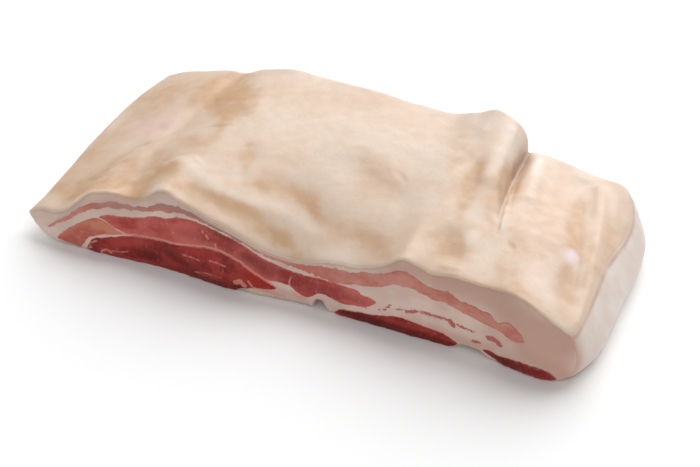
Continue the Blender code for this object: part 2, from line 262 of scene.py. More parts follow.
# Colours on the near cut: name: (strength, half width, line of (x, z)).
LEAN_BRIGHT = {
    "red lump": (1.4, 6, [(-38, 20), (-29, 17), (-20, 14)]),
    "left corner": (0.5, 8, [(-198, 10), (-188, 16)]),
    "lower middle": (0.5, 5, [(-104, 22), (-84, 26), (-64, 28)]),
    "right end": (0.4, 4, [(100, 6), (124, 6)]),
}
# Darker muscle, with painted shade along the lower edge, under the fat lump and across the main layer.
LEAN_DARK_AND_SHADE = {
    "pool": (0.9, 6, [(-132, 12), (-124, 10), (-118, 13)]),
    "pool right": (0.85, 6, [(-112, 17), (-98, 15), (-84, 10)]),
    "lump foot": (1.3, 3, [(-49, 5), (-43, 4)]),
    "foot": (0.7, 4, [(-110, 4), (-80, 4), (-52, 4)]),
    "right foot": (1.2, 5, [(36, 6), (60, 4), (100, 4), (130, 4)]),
    "end foot": (0.7, 6, [(160, 6), (184, 8), (208, 6)]),
    "right top": (0.5, 2, [(36, 8), (60, 9)]),
    "main shade": (0.5, 7, [(-100, 38), (-60, 42), (-20, 24)]),
    "main right": (0.6, 8, [(-40, 37), (-20, 30), (0, 23), (30, 22), (58, 22)]),
    "streak left": (0.8, 5, [(-176, 38), (-150, 44), (-118, 55), (-80, 53), (-40, 46), (0, 36)]),
}

# Raised stretches of the lower edge: (x, height, half width).
NOTCHES = [(20, 11, 5), (143, 5, 12), (-44, 2, 4), (4, 1.5, 8)]
# The raggedness of the whole lower edge, and how far up and how far in all of it dies out.
FOOT_LIFT = 0.5
FOOT_WAVES = ((7, 1.0), (2.5, 0.4))
FOOT_REACH = 8
FOOT_FADE = 22

# Colour over the skin: name: (strength, half width, line of (x, y)).
# Yellowish-brown stains on the skin, with painted shade on slopes and in valleys that face away from the
# light.
TAN_AND_SHADE = {
    "flap stain": (1.05, 18, [(-138, 102), (-134, 80), (-128, 58), (-119, 38), (-110, 16)]),
    "flap stain far": (1.2, 13, [(-152, 102), (-151, 82), (-147, 60), (-140, 42)]),
    "flap stain dark": (0.6, 9, [(-126, 68), (-116, 46), (-107, 22)]),
    "flap stain left": (0.45, 8, [(-140, 64), (-136, 44), (-134, 26)]),
    "flap stain inner": (0.6, 9, [(-160, 46), (-154, 36), (-146, 24)]),
    "flap stain foot": (0.8, 9, [(-134, 34), (-122, 20), (-113, 4), (-110, -14)]),
    "flap stain right": (0.5, 6, [(-107, 64), (-103, 44), (-101, 26)]),
    "lower stain": (0.75, 12, [(-138, -14), (-124, -20), (-113, -32)]),
    "whole flap": (0.3, 55, [(-232, 60), (-200, 40), (-190, -20), (-196, -80)]),
    "far flap": (0.6, 42, [(-232, 60), (-196, 62), (-160, 60)]),
    "flap edge": (0.6, 18, [(-232, -70), (-224, -40), (-222, -4)]),
    "flap front": (0.9, 15, [(-226, -74), (-204, -76), (-184, -78), (-166, -80)]),
    "flap front edge": (0.6, 9, [(-206, -88), (-184, -90), (-158, -92)]),
    "flap corner": (0.9, 8, [(-120, -58), (-117, -70), (-114, -84)]),
    "flap foot": (0.9, 12, [(-169, -48), (-165, -68), (-156, -86)]),
    "flap wrinkle": (0.5, 8, [(-180, -28), (-186, -46), (-190, -66)]),
    "flap middle": (0.3, 20, [(-170, -20), (-160, -40), (-152, -56)]),
    "front valley": (0.9, 13, [(-128, -52), (-140, -68), (-148, -84)]),
    "front valley low": (0.5, 12, [(-162, -72), (-148, -88), (-136, -92)]),
    "dimple": (0.9, 8, [(-84, -8), (-80, -20), (-74, -34)]),
    "front band": (1.0, 11, [(-110, -75), (-96, -77), (-78, -80), (-54, -82), (-30, -85), (-2, -91)]),
    "front band top": (0.4, 5, [(-108, -70), (-92, -72), (-76, -75), (-40, -76)]),
    "front band spot": (0.5, 7, [(-28, -80), (-10, -85)]),
    "middle band": (1.0, 11, [(-66, -48), (-46, -47), (-22, -47), (-10, -50), (-2, -55)]),
    "middle band end": (0.3, 7, [(-24, -47), (-8, -51), (4, -57)]),
    "right band": (0.85, 10, [(2, -60), (18, -65), (34, -67), (50, -69), (62, -80), (72, -88)]),
    "cream patch": (0.4, 9, [(88, -46), (90, -66)]),
    "front dimple": (1.1, 14, [(100, -60), (112, -67), (124, -66)]),
    "front right": (0.75, 12, [(152, -72), (162, -82), (172, -92)]),
    "front right edge": (0.8, 9, [(160, -90), (178, -94), (198, -96)]),
    "lobe valley": (1.1, 8.5, [(98, 28), (102, 6), (107, -16), (110, -38)]),
    "lobe middle": (0.3, 12, [(62, 80), (68, 50), (80, 20)]),
    "lobe side": (0.35, 5, [(121, 90), (125, 60), (129, 32), (132, 12)]),
    "lobe side foot": (0.25, 5, [(127, 36), (132, 10), (136, -8), (142, -26)]),
    "lobe front": (0.8, 7, [(119, 40), (120, 14), (123, -6), (128, -24), (135, -38)]),
    "middle haze": (0.45, 20, [(24, 4), (32, -14), (44, -24)]),
    "left haze": (0.3, 26, [(-92, -24), (-70, -40), (-40, -14)]),
    "centre haze": (0.2, 30, [(-30, -14), (20, -24), (70, -34)]),
    "front haze": (0.15, 16, [(-110, -50), (-70, -62), (-20, -66), (30, -84)]),
    "flap right": (0.7, 12, [(-150, -34), (-140, -46), (-128, -58)]),
    "right valley side": (0.7, 6, [(182, 4), (190, -16), (196, -36)]),
    "right valley end": (0.7, 6, [(204, -4), (208, -26), (213, -54)]),
    "right valley": (0.6, 8, [(176, 56), (184, 26), (194, -2), (202, -28)]),
    "right front": (0.9, 11, [(196, -40), (202, -56), (207, -72), (212, -92)]),
    "end band": (0.55, 7, [(202, 80), (208, 56), (212, 30), (215, 0), (217, -30)]),
    "back right": (0.35, 12, [(146, 84), (160, 78)]),
    "lobe foot": (0.35, 16, [(96, -34), (104, -48), (120, -60)]),
    "right middle": (0.5, 16, [(150, -30), (160, -56), (166, -70)]),
    "front foot": (0.45, 12, [(84, -84), (120, -88), (150, -90)]),
    "right side": (0.7, 36, [(150, 60), (165, 0), (178, -50)]),
    "back haze": (0.5, 30, [(-96, 66), (-40, 72), (30, 70)]),
    "lobe crest": (0.35, 12, [(100, 70), (104, 40), (100, 6)]),
    "lobe haze": (0.6, 14, [(74, 56), (84, 30), (92, -20)]),
}
# Painted shade, brown, in the crease under the lobe, the finer wrinkles and the pit.
CREASE_SHADE = {
    "crease": (0.5, 2.4, [(119, 100), (119, 80), (120, 62), (121, 44)]),
    "crease tail": (0.3, 2.2, [(120, 54), (123, 34), (128, 8), (134, -20), (138, -38)]),
    "thin wrinkle": (0.12, 2.0, [(-153, 0), (-166, -18), (-178, -26), (-185, -42)]),
    "fine wrinkle": (0.14, 1.6, [(-176, -44), (-183, -54), (-193, -60), (-199, -72)]),
    "flap line": (0.25, 2.0, [(-105, 9), (-114, 5), (-126, 2)]),
    "pit": (0.25, 2.6, [(150, -44), (156, -50)]),
    "right crease": (0.25, 1.4, [(180, 44), (188, 18), (196, -8), (203, -34), (208, -60)]),
}
BLUSH = {
    "flap": (1.3, 20, [(-196, 12), (-176, 8), (-158, 8)]),
    "flap low": (0.4, 8, [(-160, -12), (-150, -26)]),
    "front left": (0.4, 14, [(-96, -30), (-84, -46), (-70, -50)]),
    "right": (0.6, 24, [(150, 56), (160, 4), (168, -30), (176, -60)]),
    "right low": (0.4, 9, [(180, -60), (190, -84)]),
    "orange spot": (0.7, 5, [(216, 24), (216, 12)]),
    "front edge": (0.5, 7, [(-206, -94), (-188, -92), (-166, -96)]),
}
# Paler skin with painted light on the ridges, the lobe and the fold's lip, and a painted highlight along the
# right ridge.
PALE_AND_LIT = {
    "front ridge": (0.75, 8, [(-128, -42), (-112, -48), (-96, -59), (-74, -66), (-46, -68), (-18, -66),
                             (6, -76)]),
    "right ridge": (0.6, 6.5, [(128, 96), (135, 72), (141, 46)]),
    "right ridge tail": (0.4, 6.5, [(130, 86), (138, 60), (145, 26), (150, 0)]),
    "fold lip": (0.8, 2.0, [(124, 30), (129, 8), (135, -16), (140, -34)]),
    "end ridge": (0.35, 6, [(190, 40), (200, 6), (208, -30), (216, -70)]),
    "lobe": (0.6, 10, [(102, 92), (106, 74), (112, 46), (114, 24)]),
    "lobe back": (0.8, 12, [(74, 94), (82, 82), (88, 70)]),
    "lobe edge": (0.6, 5, [(112, 98), (116, 80), (116, 50)]),
    "front middle": (0.9, 9, [(10, -86), (30, -88), (46, -92)]),
    "cream patch": (0.2, 10, [(78, -50), (88, -60), (86, -76)]),
    "right patch": (0.8, 10, [(118, -50), (128, -54)]),
    "wrinkle": (0.6, 3, [(-140, -46), (-128, -43), (-112, -42)]),
    "front edge": (0.4, 8, [(84, -92), (110, -92), (140, -94)]),
    "left edge": (0.6, 9, [(-222, 66), (-222, 30), (-217, 0)]),
}
LILAC = {"spot": (1.0, 6, [(193, -24), (196, -36)])}
WET = {
    "right ridge": (0.6, 6, [(126, 96), (132, 74), (137, 50)]),
    "lobe": (0.6, 8, [(104, 84), (108, 66)]),
}
# Warmer fat on the near cut, darker with painted shade, most at the right end: (strength, half width, line
# of (x, z)).
WARM_AND_SHADE = {
    "right top": (0.9, 14, [(60, 58), (110, 57), (160, 54), (200, 44), (230, 34)]),
    "middle right": (0.5, 16, [(150, 26), (180, 26), (206, 22)]),
    "corner": (1.0, 15, [(186, 40), (206, 26), (222, 8)]),
    "low right": (0.5, 7, [(110, 16), (140, 10), (160, 14)]),
    "left top": (0.4, 6, [(-206, 26), (-186, 40), (-150, 46), (-120, 60)]),
    "wedge": (0.5, 5, [(-16, 14), (0, 8), (10, 6)]),
}
# Reddened fat on the near cut, the same way.
RED = {
    "wedge": (0.8, 2.5, [(-30, 8), (-20, 8), (-8, 6)]),
    "wedge right": (0.6, 2.5, [(-4, 14), (4, 9), (12, 12)]),
    "notch": (0.9, 2.0, [(15, 6), (18, 10), (23, 11)]),
    "streak foot": (0.3, 2.5, [(80, 40), (110, 38), (128, 34)]),
    "low right": (0.3, 4.0, [(60, 16), (100, 18), (140, 12), (156, 10)]),
    "seam": (1.2, 3.0, [(-150, 23), (-136, 26), (-110, 27), (-80, 33), (-56, 34), (-30, 23), (-14, 14)]),
    "left seam": (0.4, 2.5, [(-170, 30), (-150, 24)]),
    "under streak": (0.25, 2.0, [(-70, 47), (-40, 42), (-10, 34), (20, 30)]),
}
# How thin a stroke is at its ends, and how its outline strays: (patch size, mm).
STROKE_TIP = 0.5
WANDER = ((30, 5.0), (10, 1.5))
WANDER_PLANE = 40

# How far the skin's edge, the lower edge and the upright corners of the right end are softened.
EDGE_SOFT = 1.6
FOOT_SOFT = 1.6
CORNER_SOFT = 5
# The thin crack under the rind of the right end, whose line carries painted shade: how deep, how far down
# and how wide.
END_CRACK = 0.4
END_CRACK_DEPTH = 1.8
END_CRACK_WIDTH = 0.7
# The near corner of the right end, coloured like the long cuts: y, and how far it fades.
END_CORNER = (-108, 11)
# Unevenness of the cuts and the skin: (patch size, height), and where the cuts lie in the noise.
CUT_WAVES = ((22, 0.7), (7, 0.22))
CUT_APART = 50.0
CUT_TALL = 40
SKIN_WAVES = ((26, 0.5), (9, 0.18))
# Steps along, across and up the slab, and where they crowd: (place, reach, gain).
SLAB_COLUMNS = 420
SLAB_ROWS = 104
SLAB_LEVELS = 44
COLUMN_CROWDS = [(0, 0.01, 1.5), (1, 0.01, 1.5), (0.778, 0.025, 1.6)]
ROW_CROWDS = [(0, 0.015, 3.5), (1, 0.015, 3.5)]
LEVEL_CROWDS = [(0, 0.05, 1.2), (1, 0.05, 2.2)]
CROWD_SAMPLES = 4001
UNDER_STEP = 13
UNDER_GAP = 0.3

# Steps of the lean layers in mm, the slab's rough height and width, and their rows between the cuts.
LEAN_STEP = 0.75
LEAN_LEVEL_STEP = 0.7
LEAN_LEVELS_LEAST = 8
LEAN_HEIGHT = 60
LEAN_SPAN = 200
LEAN_ROWS = (0, 0.004, 0.05, 0.15, 0.25, 0.35, 0.45, 0.55, 0.65, 0.75, 0.85, 0.95, 0.996, 1)
# How far a layer grows past the part's, keeps under the skin, rounds its ends and stands proud.
LEAN_GROW = 0.42
LEAN_CEILING = 3.0
LEAN_TIP = 7
LEAN_TIP_LEAST = 0.12
LEAN_PROUD = 0.18
LEAN_DOME = 0.45
# Ragged borders and uneven faces: (patch size, height), and where they lie in the noise.
LEAN_RAG = ((9, 0.6), (3, 0.5))
RAG_SPAN = 60
RAG_TOP_PLANE = 30
LEAN_WAVES = ((4, 0.15),)

# Corner and size of each side's place in the texture map, by (axis, end) of the unit box.
ATLAS = {
    (2, 1): (0.0, 0.54, 1.0, 0.44),
    (1, 0): (0.0, 0.36, 1.0, 0.15),
    (1, 1): (0.0, 0.19, 1.0, 0.15),
    (0, 0): (0.0, 0.0, 0.3, 0.17),
    (0, 1): (0.32, 0.0, 0.3, 0.17),
    (2, 0): (0.64, 0.0, 0.36, 0.17),
}
ATLAS_MARGIN = 0.01

# Colours as a screen shows them, 0 to 255.
TINTS = {
    "cream": (221, 199, 180),
    "warm cream": (218, 192, 170),
    "haze": (213, 184, 154),
    "blush": (226, 198, 185),
    # Paler skin and painted light.
    "pale": (233, 215, 199),
    # Colour of the stains and of the painted shade on the skin.
    "tan_and_shade": (198, 158, 120),
    "lilac": (230, 208, 216),
    # Painted shade in the creases.
    "crease_shade": (150, 104, 78),
    "speckle": (200, 172, 146),
    "rind": (188, 156, 132),
    "fat": (226, 200, 184),
    "pink fat": (215, 185, 172),
    "fat streak": (228, 210, 194),
    # Warmer fat with painted shade.
    "warm": (198, 156, 138),
    "fat spot": (204, 160, 148),
    "red": (222, 140, 128),
    "fleck": (184, 96, 88),
    "end fat": (224, 212, 203),
    "dull end fat": (218, 202, 191),
    # Painted shade in the crack under the rind.
    "crack": (184, 138, 108),
    "bright": (164, 34, 24),
    "fibre": (196, 116, 104),
    "marbling": (214, 164, 150),
    "seam": (222, 142, 130),
}
# The greatest share that each painted attribute takes.
PAINT = {"blush": 0.85, "pale": 0.8, "warm": 0.9, "red": 0.85, "bright": 0.8, "dark": 0.85}
# Muscle: name: (deep, bright and dark colour, the dark one also for painted shade, share of marbling, of
# fibres and of pale border).
MEATS = {
    "pale_lean": ((196, 116, 104), (206, 142, 126), (162, 130, 120), 0.3, 0.25, 0.15),
    "lean": ((175, 68, 64), (204, 102, 94), (116, 28, 26), 0.4, 0.25, 0.6),
    "left_lean": ((184, 94, 80), (208, 132, 106), (116, 28, 26), 0.3, 0.25, 0.6),
    "dark_lean": ((126, 28, 25), (166, 54, 48), (96, 13, 11), 0.25, 0.12, 0.6),
}

# Noise: (patch size in mm, detail, stretch along x, y and z).
ROUND = (1, 1, 1)
PORES = (1.3, 2)
PITS = (5, 3)
DRAG = (1.8, 3, (9, 1, 1))
FIBRES = (1.6, 4, (1, 1, 4))
# Noise taken to a value: (patch size, detail, stretch, shift, noise from, to, value from, to).
BLOTCHES = {
    "skin tone": (55, 2, ROUND, 0, 0.35, 0.65, 0, 1),
    "haze": (26, 2, ROUND, 4, 0.5, 0.75, 0, 0.5),
    # Unevenness of the stains and painted shade on the skin.
    "tan_and_shade": (12, 3, ROUND, 0, 0.2, 0.7, 0.65, 1.15),
    "speckle": (3.5, 3, ROUND, 0, 0.3, 0.7, 0, 0.1),
    "skin edge": (6, 2, ROUND, 0, 0.2, 0.8, -0.3, 0.3),
    "skin gloss": (9, 3, ROUND, 0, 0.3, 0.7, 0.42, 0.56),
    "fat tone": (26, 2, ROUND, 9, 0.35, 0.65, 0, 1),
    "fat streak": (6, 4, (3, 1, 1), 0, 0.5, 0.8, 0, 0.4),
    "fat spot": (3, 3, (2, 1, 1), 5, 0.62, 0.78, 0, 0.3),
    "fleck edge": (1.6, 2, ROUND, 0, 0.2, 0.8, -0.8, 0.8),
    "end tone": (20, 2, ROUND, 2, 0.35, 0.65, 0, 1),
    # Unevenness of the painted shade in the crack.
    "crack": (16, 3, ROUND, 0, 0.35, 0.65, 0.15, 0.6),
    "meat tone": (12, 3, (2, 1, 1), 0, 0.38, 0.62, 0, 1),
    "meat light": (4, 3, (1.5, 1, 1), 7, 0.42, 0.7, 0, 0.5),
    "marbling": (2.4, 3, (1, 1, 1.8), 3, 0.66, 0.74, 0, 1),
    "seam edge": (1.5, 2, ROUND, 0, 0.2, 0.8, -0.3, 0.3),
    "meat gloss": (5, 3, ROUND, 0, 0.3, 0.7, 0.3, 0.48),
}
# Depths in mm where skin turns to fat, and where the rind's colour fades in, up to its share.
SKIN_DEPTH = (0.3, 1.3)
RIND_DEPTH = (3.2, 1.0)
RIND_SHARE = 0.5
# Distances in mm from outside to inside a mark, and the noise between which fibres show.
FLECK_EDGE = (0.4, -0.4)
SEAM_EDGE = (0.6, -0.4)
SEAM_SHARE = 0.8
BORDER_EDGE = (1.0, -0.2)
FIBRE_RANGE = (0.45, 0.75)
# Full stains and painted shade, the pores' share of the relief, the knife drag's share on the ends, a wet
# spot's gloss.
STAIN_AND_SHADE_FULL = 1.4
PORE_SHARE = 0.5
END_DRAG = 0.25
WET_SHINE = -0.24
FAT_BUMP = {"Strength": 0.3, "Distance": 0.5 * MM}
MEAT_BUMP = {"Strength": 0.4, "Distance": 0.4 * MM}
FAT_SURFACE = {
    "Subsurface Weight": 0.2, "Subsurface Radius": (1.0, 0.45, 0.3), "Subsurface Scale": 3 * MM,
    "Coat Weight": 0.12, "Coat Roughness": 0.3,
}
MEAT_SURFACE = {
    "Specular IOR Level": 0.2, "Subsurface Weight": 0.1, "Subsurface Radius": (1.0, 0.3, 0.2),
    "Subsurface Scale": 2 * MM, "Coat Weight": 0.04, "Coat Roughness": 0.2,
}
FLOOR_SURFACE = {
    "Base Color": (0.945, 0.945, 0.945, 1), "Roughness": 0.7, "Specular IOR Level": 0.2,
}
# The Mix node's sockets for colours, by number since several share a name: share, first, second.
MIX_SOCKETS = (0, 6, 7)
MIX_RESULT = 2

AZIMUTH = 23.5
ELEVATION = 37.5
DISTANCE = 1.6
SENSOR = 36.0
LENS = 102.34
AIM = (0.003, -0.004)
FLOOR_SIZE = 12.0
WORLD_LIGHT = 0.25
# Broad lights, far off: name: (where from, how wide in degrees, strength).
SUNS = {
    "softbox": ((0.0, 1.15, 1.0), 66, 3.25),
    "reflector": ((0.3, -1.0, 1.0), 80, 0.74),
}


# ---- Curves and surfaces, in mm ----


def curve(points, at):
    """A smooth curve through (where, value) points, held level past both ends."""
    where, value = np.array(points, float).T
    slope = np.gradient(value, where)
    at = np.clip(at, where[0], where[-1])
    k = np.clip(np.searchsorted(where, at, side="right") - 1, 0, len(where) - 2)
    gap = where[k + 1] - where[k]
    t = (at - where[k]) / gap
    return ((2 * t**3 - 3 * t**2 + 1) * value[k] + (t**3 - 2 * t**2 + t) * gap * slope[k]
            + (3 * t**2 - 2 * t**3) * value[k + 1] + (t**3 - t**2) * gap * slope[k + 1])


def nearest_on(x, y, line):
    """Distance in the plane from points to a line of (x, y) points, and how far along it is nearest."""
    nearest, along = np.full(np.shape(x), np.inf), np.zeros(np.shape(x))
    for k, ((ax, ay), (bx, by)) in enumerate(zip(line, line[1:])):
        length = (bx - ax) ** 2 + (by - ay) ** 2
        t = np.clip(((x - ax) * (bx - ax) + (y - ay) * (by - ay)) / length, 0, 1)
        distance = np.hypot(x - ax - t * (bx - ax), y - ay - t * (by - ay))
        along = np.where(distance < nearest, (k + t) / (len(line) - 1), along)
        nearest = np.minimum(nearest, distance)
    return nearest, along


def rolls(marks, x, y):
    """The sum of soft rolls and grooves, each (rise, half width, line), at points of the plan."""
    total = np.zeros(np.shape(x))
    for rise, width, line in marks.values():
        total = total + rise * np.exp(-((nearest_on(x, y, line)[0] / width) ** 2))
    return total


def strokes(marks, x, y):
    """The sum of soft strokes, each (strength, half width, line), that thin out towards their ends."""
    total = np.zeros(np.shape(x))
    for strength, width, line in marks.values():
        nearest, along = nearest_on(x, y, line)
        tip = STROKE_TIP + (1 - STROKE_TIP) * (1 - (2 * along - 1) ** 2)
        total = total + strength * tip**0.5 * np.exp(-((nearest / (width * tip)) ** 2))
    return total


def waves(x, y, z, sizes):
    """Smooth noise, the sum of (patch size, height) octaves, all in mm."""
    total = np.zeros(len(x))
    for size, height in sizes:
        places = np.column_stack((x, y, z)) / size + size
        total += height * np.array([noise.noise(Vector(place)) for place in places])
    return total


def skin_height(x, y, v):
    """Height of the skin, where v goes from 0 at the near cut to 1 at the far cut."""
    near = np.clip(1 - v / FRONT_REACH, 0, 1) ** 2
    slope = np.clip(1 - v / SLOPE_REACH, 0, 1) ** 2
    far = np.clip(1 - (1 - v) / BACK_REACH, 0, 1) ** 2
    height = near * curve(FRONT_SKIN, x) + (slope - near) * curve(FRONT_SLOPE, x)
    height = height + far * curve(BACK_SKIN, x) + (1 - slope - far) * curve(MID_SKIN, x)
    fade = np.clip(np.minimum(v, 1 - v) / EDGE_FADE, 0, 1)
    height = height + fade * rolls(RELIEF, x, y)
    return height - curve(FOLD_DROP, y) * over_fold(x, y) ** 3


def over_fold(x, y):
    """From 0 at the start of the lobe's rounded side to 1 at the crease."""
    return np.clip((x - curve(FOLD_LINE, y) + FOLD_ROUND - FOLD_TOE) / FOLD_ROUND, 0, 1)


def cut_relief(x, w, side):
    """How far the knife's cut stands in or out of its plain curve."""
    return waves(x, np.full(len(x), side * CUT_APART), w * CUT_TALL, CUT_WAVES)


def near_cut(x, w):
    plain = curve(FRONT_FOOT, x) + curve(FRONT_LEAN, x) * w**CUT_POWER
    return plain - FRONT_BULGE * np.sin(np.pi * w) + cut_relief(x, w, 0)


def far_cut(x, w):
    plain = curve(BACK_FOOT, x) - BACK_LEAN * w**CUT_POWER
    return plain + BACK_BULGE * np.sin(np.pi * w) + cut_relief(x, w, 1)


def raised_foot(x, z, inside):
    """Lifts the lower edge where it is torn or curls off the floor; inside is mm from the cut."""
    lift = FOOT_LIFT + FOOT_LIFT * waves(x, x * 0, x * 0, FOOT_WAVES)
    for middle, height, reach in NOTCHES:
        lift = lift + height * np.exp(-(((x - middle) / reach) ** 4))
    return z + lift * np.exp(-z / FOOT_REACH) * np.exp(-inside / FOOT_FADE)


def slab_point(u, v, w):
    """The slab over the unit box, with its relief, its soft edges and its folded lobe."""
    swell = np.sin(np.pi * w)
    left = curve(LEFT_FOOT, v) + (curve(LEFT_TOP, v) - curve(LEFT_FOOT, v)) * w**LEFT_POWER
    right = curve(RIGHT_FOOT, v) + (curve(RIGHT_TOP, v) - curve(RIGHT_FOOT, v)) * w**RIGHT_POWER
    x = left + (right + RIGHT_BULGE * swell - left) * u
    fold_near, fold_far = FOLD_LINE[0][0], FOLD_LINE[-1][0]
    fold_y = fold_near + (fold_far - fold_near) * (v - FOLD_START) / (1 - FOLD_START)
    x = x + (curve(FOLD_LINE, fold_y) - FOLD_MIDDLE) * np.exp(-(((x - FOLD_MIDDLE) / FOLD_PULL) ** 2))
    near, far = near_cut(x, w), far_cut(x, w)
    y = near + (far - near) * v
    height = skin_height(x, y, v) + strokes(FINE_RELIEF, x, y) + waves(x, y, x * 0, SKIN_WAVES)
    z = height * w
    below = height - z
    turn = over_fold(x, y)
    x = x + FOLD_OVERHANG * curve(FOLD_DROP, y) * FOLD_PEAK * turn**2 * (1 - turn) * w**4

    for inside, axis, sign in ((u * (right - left), 0, 1), ((1 - u) * (right - left), 0, -1),
                               (v * (far - near), 1, 1), ((1 - v) * (far - near), 1, -1)):
        pull = EDGE_SOFT / 2 * np.exp(-(inside + below) / EDGE_SOFT)
        foot = FOOT_SOFT / 2 * np.exp(-(inside + z) / FOOT_SOFT)
        z = z - pull
        x = x + sign * (pull + foot) * (axis == 0)
        y = y + sign * (pull + foot) * (axis == 1)
    for share, sign in ((v, 1), (1 - v, -1)):
        inside = share * (far - near) + (1 - u) * (right - left)
        pull = CORNER_SOFT / 2 * np.exp(-inside / CORNER_SOFT)
        x = x - pull
        y = y + sign * pull
    lip = END_CRACK * np.exp(-(((below - END_CRACK_DEPTH) / END_CRACK_WIDTH) ** 2))
    x = x - lip * (u == 1)
    z = raised_foot(x, z, np.minimum(v, 1 - v) * (far - near))
    return x, y, np.maximum(z, UNDER_GAP), below


def lean_point(layer, u, v, w):
    """A lean layer over the unit box. Its two cut faces follow the slab's, slightly proud."""
    start, end = layer["top"][0][0], layer["top"][-1][0]
    x = start + (end - start) * u
    tip = np.clip(np.minimum(u, 1 - u) * (end - start) / LEAN_TIP, 0, 1)
    taper = np.maximum(np.sqrt(1 - (1 - tip) ** 2), LEAN_TIP_LEAST)
    low, high = curve(layer["bottom"], x), curve(layer["top"], x)
    drifted = x + layer["drift"] * v
    height = skin_height(drifted, v * LEAN_SPAN - LEAN_SPAN / 2, v)
    rag_low = waves(x, v * RAG_SPAN, x * 0, LEAN_RAG) * layer["rag"]
    rag_high = waves(x, v * RAG_SPAN, x * 0 + RAG_TOP_PLANE, LEAN_RAG) * layer["rag"]
    half = (high - low) / 2 * taper + LEAN_GROW / height
    low_edge = (high + low) / 2 - half + rag_low / height
    high_edge = (high + low) / 2 + half + rag_high / height
    sag = 1 - LAYER_SAG * (1 - np.clip(2 * v - 1, -1, 1) ** 4)
    share = np.clip(low_edge + (high_edge - low_edge) * w, 0, 1 - LEAN_CEILING / height) * sag
    near, far = near_cut(drifted, share), far_cut(drifted, share)
    y = near + (far - near) * v
    round_face = LEAN_DOME * np.sqrt(np.clip(4 * w * (1 - w), 0, 1)) * taper
    proud = LEAN_PROUD + round_face + waves(x, v * RAG_SPAN, share * height, LEAN_WAVES)
    y = y - proud * (v == 0) + proud * (v == 1)
    z = raised_foot(drifted, share * height, np.minimum(v, 1 - v) * (far - near))
    edge = (high_edge - low_edge) * height * np.minimum(w, 1 - w)
    return drifted, y, z, edge


# ---- Meshes ----


def crowded(count, gatherings):
    """count steps from 0 to 1, closer together round each (place, reach, gain)."""
    fine = np.linspace(0, 1, CROWD_SAMPLES)
    density = np.ones_like(fine)
    for place, reach, gain in gatherings:
        density += gain * np.exp(-(((fine - place) / reach) ** 2))
    total = np.concatenate(([0], np.cumsum((density[1:] + density[:-1]) / 2)))
    return np.interp(np.linspace(0, total[-1], count + 1), total, fine)


def underside(left_edge, right_edge, grid, step):
    """Faces of the coarse underside. Those at its two ends take in the ends' finer points."""
    faces = quads(grid[1:-1])
    for j in range(grid.shape[1] - 1):
        fine = slice(j * step, (j + 1) * step + 1)
        faces.append([*left_edge[fine], grid[1, j + 1], grid[1, j]])
        faces.append([*right_edge[fine][::-1], grid[-2, j], grid[-2, j + 1]])
    return faces


def quads(grid, flip=True):
    """The faces between the rows and columns of a grid of point numbers."""
    corners = (grid[:-1, :-1], grid[1:, :-1], grid[1:, 1:], grid[:-1, 1:])
    if flip:
        corners = corners[::-1]
    return np.stack(corners, -1).reshape(-1, 4).tolist()


def unit_box(us, vs, ws, under_step=1):
    """A closed box over 0..1: its points, its faces, and each face's side as (axis, end)."""
    points, grids, first = [], {}, 0
    for axis in range(3):
        for end in (0, 1):
            steps = [us, vs[::under_step] if (axis, end) == (2, 0) else vs, ws]
            a, b = [k for k in range(3) if k != axis]
            grid = np.zeros((len(steps[a]), len(steps[b]), 3))
            grid[..., a] = steps[a][:, None]
            grid[..., b] = steps[b][None, :]
            grid[..., axis] = end
            count = grid.shape[0] * grid.shape[1]
            grids[axis, end] = first + np.arange(count).reshape(grid.shape[:2])
            points.append(grid.reshape(-1, 3))
            first += count
    points, index = np.unique(np.round(np.concatenate(points), 9), axis=0, return_inverse=True)
    grids = {side: index.reshape(-1)[grid] for side, grid in grids.items()}
    faces, sides = [], []
    for (axis, end), grid in grids.items():
        if (axis, end) == (2, 0):
            made = underside(grids[0, 0][:, 0], grids[0, 1][:, 0], grid, under_step)
        else:
            made = quads(grid, flip=(end == 0) != (axis == 1))
        faces += made
        sides += [(axis, end)] * len(made)
    return points, faces, sides


def add_texture_map(mesh, points, sides):
    """Lays each side of the unit box in its own place of the texture map."""
    uv = mesh.uv_layers.new(name="OFBake").data
    flat = np.zeros((len(mesh.loops), 2))
    inner = 1 - 2 * ATLAS_MARGIN
    for face, (axis, end) in zip(mesh.polygons, sides):
        across, up = [k for k in range(3) if k != axis]
        x, y, width, height = ATLAS[axis, end]
        loops = slice(face.loop_start, face.loop_start + face.loop_total)
        at = points[list(face.vertices)]
        flat[loops, 0] = x + width * (ATLAS_MARGIN + inner * at[:, across])
        flat[loops, 1] = y + height * (ATLAS_MARGIN + inner * at[:, up])
    uv.foreach_set("uv", flat.ravel())


def make_piece(name, box, places, attributes, material, cad_box):
    """A closed mesh object in metres, held inside the CAD model's box, with named attributes."""
    points, faces, sides = box
    mesh = bpy.data.meshes.new(name)
    co = np.clip(np.column_stack(places) * MM, cad_box[0], cad_box[1])
    mesh.from_pydata(co.tolist(), [], faces)
    mesh.polygons.foreach_set("use_smooth", [True] * len(mesh.polygons))
    for label, values in attributes.items():
        mesh.attributes.new(label, "FLOAT", "POINT").data.foreach_set("value", values)
    add_texture_map(mesh, points, sides)
    mesh.materials.append(material)
    mesh.update()
    piece = bpy.data.objects.new(name, mesh)
    bpy.context.scene.collection.objects.link(piece)
    return piece


def beyond(marks, x, z, v):
    """Distance in mm past the edge of the nearest mark on a cut; negative inside a mark."""
    far = v > 0.5
    x = x - np.where(far, FAR_SEAM_SHIFT, 0)
    share = z / np.where(far, curve(BACK_SKIN, x), curve(FRONT_SKIN, x))
    nearest = np.full(len(x), NO_MARK)
    for half_width, line in marks.values():
        scale = curve(FRONT_SKIN, np.array([at for at, _ in line]))
        in_mm = [(at, level * tall) for (at, level), tall in zip(line, scale)]
        height = share * curve(FRONT_SKIN, x)
        nearest = np.minimum(nearest, nearest_on(x, height, in_mm)[0] - half_width)
    return nearest


